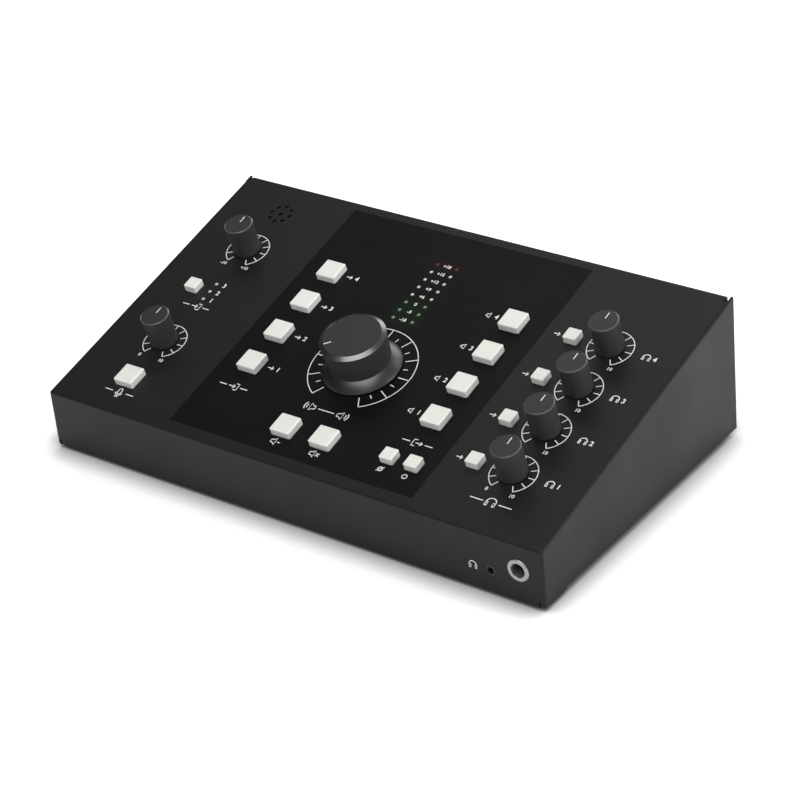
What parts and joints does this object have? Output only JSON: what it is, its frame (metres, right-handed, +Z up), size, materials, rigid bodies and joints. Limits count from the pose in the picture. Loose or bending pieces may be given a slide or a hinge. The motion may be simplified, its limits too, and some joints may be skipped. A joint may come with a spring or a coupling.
{
  "type": "studio monitor controller",
  "caption": "Wedge-shaped desktop monitor controller: a folded black steel case with a large level dial, small dials, white keys, a lamp meter and plug sockets.",
  "frame": {"origin": "middle of the footprint box at desk level", "axes": "+X to the right of someone working the panel, +Y from the front face to the rear sockets, +Z up"},
  "size_m": [0.28, 0.1698, 0.0791],
  "materials": {
    "cover_paint": "fine-textured matte black powder coat, with the flush print on the panel",
    "tray_paint": "fine-textured matte black powder coat",
    "foot_rubber": "dull black rubber",
    "screw_black": "black-finished steel",
    "board_green": "green solder mask",
    "spacer_steel": "plated steel",
    "ribbon_grey": "grey ribbon cable",
    "switch_black": "black moulded switch bodies",
    "pot_metal": "plated cans and bushes",
    "nut_black": "black nuts",
    "shaft_metal": "turned aluminium",
    "key_white": "satin off-white moulded caps",
    "knob_black": "charcoal knobs with a bright-cut rim and a white pointer line",
    "level_knob_black": "black anodised, turned face and polished bevel, white pointer line",
    "lamp_red": "dark red lamp",
    "lamp_yellow": "pale yellow lamps",
    "lamp_green": "pale green lamps",
    "lamp_white": "pale white lamps",
    "mic_rubber": "rubber boot and capsule",
    "jack_black": "black moulded sockets",
    "jack_nut_steel": "nickel-plated ring nuts",
    "phono_plated": "nickel-plated sleeves",
    "socket_black": "black moulded plastic",
    "rocker_black": "glossy black rocker"
  },
  "bodies": {
    "case": {"base_tray": "tray_paint", "board_screws": "spacer_steel", "board_spacers": "spacer_steel", "case_screws": "screw_black", "headphone_jack": "jack_black", "jack_nuts": "jack_nut_steel", "key_switches": "switch_black", "level_pot": "pot_metal", "line_jacks": "jack_black", "meter_lamps_green": "lamp_green", "meter_lamps_red": "lamp_red", "meter_lamps_yellow": "lamp_yellow", "mini_jack": "jack_black", "optical_socket": "socket_black", "panel_board": "board_green", "phones_board": "board_green", "phono_sockets": "phono_plated", "pot_nuts": "nut_black", "power_inlet": "socket_black", "power_switch": "socket_black", "rear_board": "board_green", "ribbon_cable": "ribbon_grey", "rubber_feet": "foot_rubber", "small_pots": "pot_metal", "source_lamps": "lamp_white", "talkback_mic": "mic_rubber", "top_cover": "cover_paint"},
    "input_1_key": {"input_1_button": "key_white"},
    "output_1_key": {"output_1_button": "key_white"},
    "headphone_1_source_key": {"headphone_1_source_button": "key_white"},
    "input_2_key": {"input_2_button": "key_white"},
    "output_2_key": {"output_2_button": "key_white"},
    "headphone_2_source_key": {"headphone_2_source_button": "key_white"},
    "input_3_key": {"input_3_button": "key_white"},
    "output_3_key": {"output_3_button": "key_white"},
    "headphone_3_source_key": {"headphone_3_source_button": "key_white"},
    "input_4_key": {"input_4_button": "key_white"},
    "output_4_key": {"output_4_button": "key_white"},
    "headphone_4_source_key": {"headphone_4_source_button": "key_white"},
    "dim_key": {"dim_button": "key_white"},
    "cut_key": {"cut_button": "key_white"},
    "talkback_key": {"talkback_button": "key_white"},
    "trim_source_key": {"trim_source_button": "key_white"},
    "polarity_key": {"polarity_button": "key_white"},
    "mono_key": {"mono_button": "key_white"},
    "headphone_1_dial": {"headphone_1_knob": "knob_black", "headphone_1_shaft": "shaft_metal"},
    "headphone_2_dial": {"headphone_2_knob": "knob_black", "headphone_2_shaft": "shaft_metal"},
    "headphone_3_dial": {"headphone_3_knob": "knob_black", "headphone_3_shaft": "shaft_metal"},
    "headphone_4_dial": {"headphone_4_knob": "knob_black", "headphone_4_shaft": "shaft_metal"},
    "talkback_dial": {"talkback_knob": "knob_black", "talkback_shaft": "shaft_metal"},
    "trim_dial": {"trim_knob": "knob_black", "trim_shaft": "shaft_metal"},
    "level_dial": {"level_knob": "level_knob_black", "level_shaft": "shaft_metal"},
    "power_toggle": {"power_rocker": "rocker_black"}
  },
  "joints": [
    {"name": "input_1_key_press", "type": "slide", "parent": "case", "child": "input_1_key", "axis": [0, 0.2528, -0.9675], "range_m": [0, 0.0015], "stiffness_N_per_m": 250},
    {"name": "output_1_key_press", "type": "slide", "parent": "case", "child": "output_1_key", "axis": [0, 0.2528, -0.9675], "range_m": [0, 0.0015], "stiffness_N_per_m": 250},
    {"name": "headphone_1_source_key_press", "type": "slide", "parent": "case", "child": "headphone_1_source_key", "axis": [0, 0.2528, -0.9675], "range_m": [0, 0.0015], "stiffness_N_per_m": 250},
    {"name": "input_2_key_press", "type": "slide", "parent": "case", "child": "input_2_key", "axis": [0, 0.2528, -0.9675], "range_m": [0, 0.0015], "stiffness_N_per_m": 250},
    {"name": "output_2_key_press", "type": "slide", "parent": "case", "child": "output_2_key", "axis": [0, 0.2528, -0.9675], "range_m": [0, 0.0015], "stiffness_N_per_m": 250},
    {"name": "headphone_2_source_key_press", "type": "slide", "parent": "case", "child": "headphone_2_source_key", "axis": [0, 0.2528, -0.9675], "range_m": [0, 0.0015], "stiffness_N_per_m": 250},
    {"name": "input_3_key_press", "type": "slide", "parent": "case", "child": "input_3_key", "axis": [0, 0.2528, -0.9675], "range_m": [0, 0.0015], "stiffness_N_per_m": 250},
    {"name": "output_3_key_press", "type": "slide", "parent": "case", "child": "output_3_key", "axis": [0, 0.2528, -0.9675], "range_m": [0, 0.0015], "stiffness_N_per_m": 250},
    {"name": "headphone_3_source_key_press", "type": "slide", "parent": "case", "child": "headphone_3_source_key", "axis": [0, 0.2528, -0.9675], "range_m": [0, 0.0015], "stiffness_N_per_m": 250},
    {"name": "input_4_key_press", "type": "slide", "parent": "case", "child": "input_4_key", "axis": [0, 0.2528, -0.9675], "range_m": [0, 0.0015], "stiffness_N_per_m": 250},
    {"name": "output_4_key_press", "type": "slide", "parent": "case", "child": "output_4_key", "axis": [0, 0.2528, -0.9675], "range_m": [0, 0.0015], "stiffness_N_per_m": 250},
    {"name": "headphone_4_source_key_press", "type": "slide", "parent": "case", "child": "headphone_4_source_key", "axis": [0, 0.2528, -0.9675], "range_m": [0, 0.0015], "stiffness_N_per_m": 250},
    {"name": "dim_key_press", "type": "slide", "parent": "case", "child": "dim_key", "axis": [0, 0.2528, -0.9675], "range_m": [0, 0.0015], "stiffness_N_per_m": 250},
    {"name": "cut_key_press", "type": "slide", "parent": "case", "child": "cut_key", "axis": [0, 0.2528, -0.9675], "range_m": [0, 0.0015], "stiffness_N_per_m": 250},
    {"name": "talkback_key_press", "type": "slide", "parent": "case", "child": "talkback_key", "axis": [0, 0.2528, -0.9675], "range_m": [0, 0.0015], "stiffness_N_per_m": 250},
    {"name": "trim_source_key_press", "type": "slide", "parent": "case", "child": "trim_source_key", "axis": [0, 0.2528, -0.9675], "range_m": [0, 0.0015], "stiffness_N_per_m": 250},
    {"name": "polarity_key_press", "type": "slide", "parent": "case", "child": "polarity_key", "axis": [0, 0.2528, -0.9675], "range_m": [0, 0.0015], "stiffness_N_per_m": 250},
    {"name": "mono_key_press", "type": "slide", "parent": "case", "child": "mono_key", "axis": [0, 0.2528, -0.9675], "range_m": [0, 0.0015], "stiffness_N_per_m": 250},
    {"name": "headphone_1_dial_turn", "type": "hinge", "parent": "case", "child": "headphone_1_dial", "pos_m": [0.1039, -0.05054, 0.03997], "axis": [0, 0.2528, -0.9675], "range_deg": [-150, 150]},
    {"name": "headphone_2_dial_turn", "type": "hinge", "parent": "case", "child": "headphone_2_dial", "pos_m": [0.1039, -0.02384, 0.04695], "axis": [0, 0.2528, -0.9675], "range_deg": [-150, 150]},
    {"name": "headphone_3_dial_turn", "type": "hinge", "parent": "case", "child": "headphone_3_dial", "pos_m": [0.1039, 0.00287, 0.05393], "axis": [0, 0.2528, -0.9675], "range_deg": [-150, 150]},
    {"name": "headphone_4_dial_turn", "type": "hinge", "parent": "case", "child": "headphone_4_dial", "pos_m": [0.1039, 0.02957, 0.0609], "axis": [0, 0.2528, -0.9675], "range_deg": [-150, 150]},
    {"name": "talkback_dial_turn", "type": "hinge", "parent": "case", "child": "talkback_dial", "pos_m": [-0.1053, -0.03709, 0.04349], "axis": [0, 0.2528, -0.9675], "range_deg": [-150, 150]},
    {"name": "trim_dial_turn", "type": "hinge", "parent": "case", "child": "trim_dial", "pos_m": [-0.1053, 0.02938, 0.06085], "axis": [0, 0.2528, -0.9675], "range_deg": [-150, 150]},
    {"name": "level_dial_turn", "type": "hinge", "parent": "case", "child": "level_dial", "pos_m": [0, -0.0191, 0.04819], "axis": [0, 0.2528, -0.9675], "range_deg": [-17, 283]},
    {"name": "power_toggle_tip", "type": "hinge", "parent": "case", "child": "power_toggle", "pos_m": [0.122, 0.074, 0.0315], "axis": [1, 0, 0], "range_deg": [0, 16]}
  ]
}
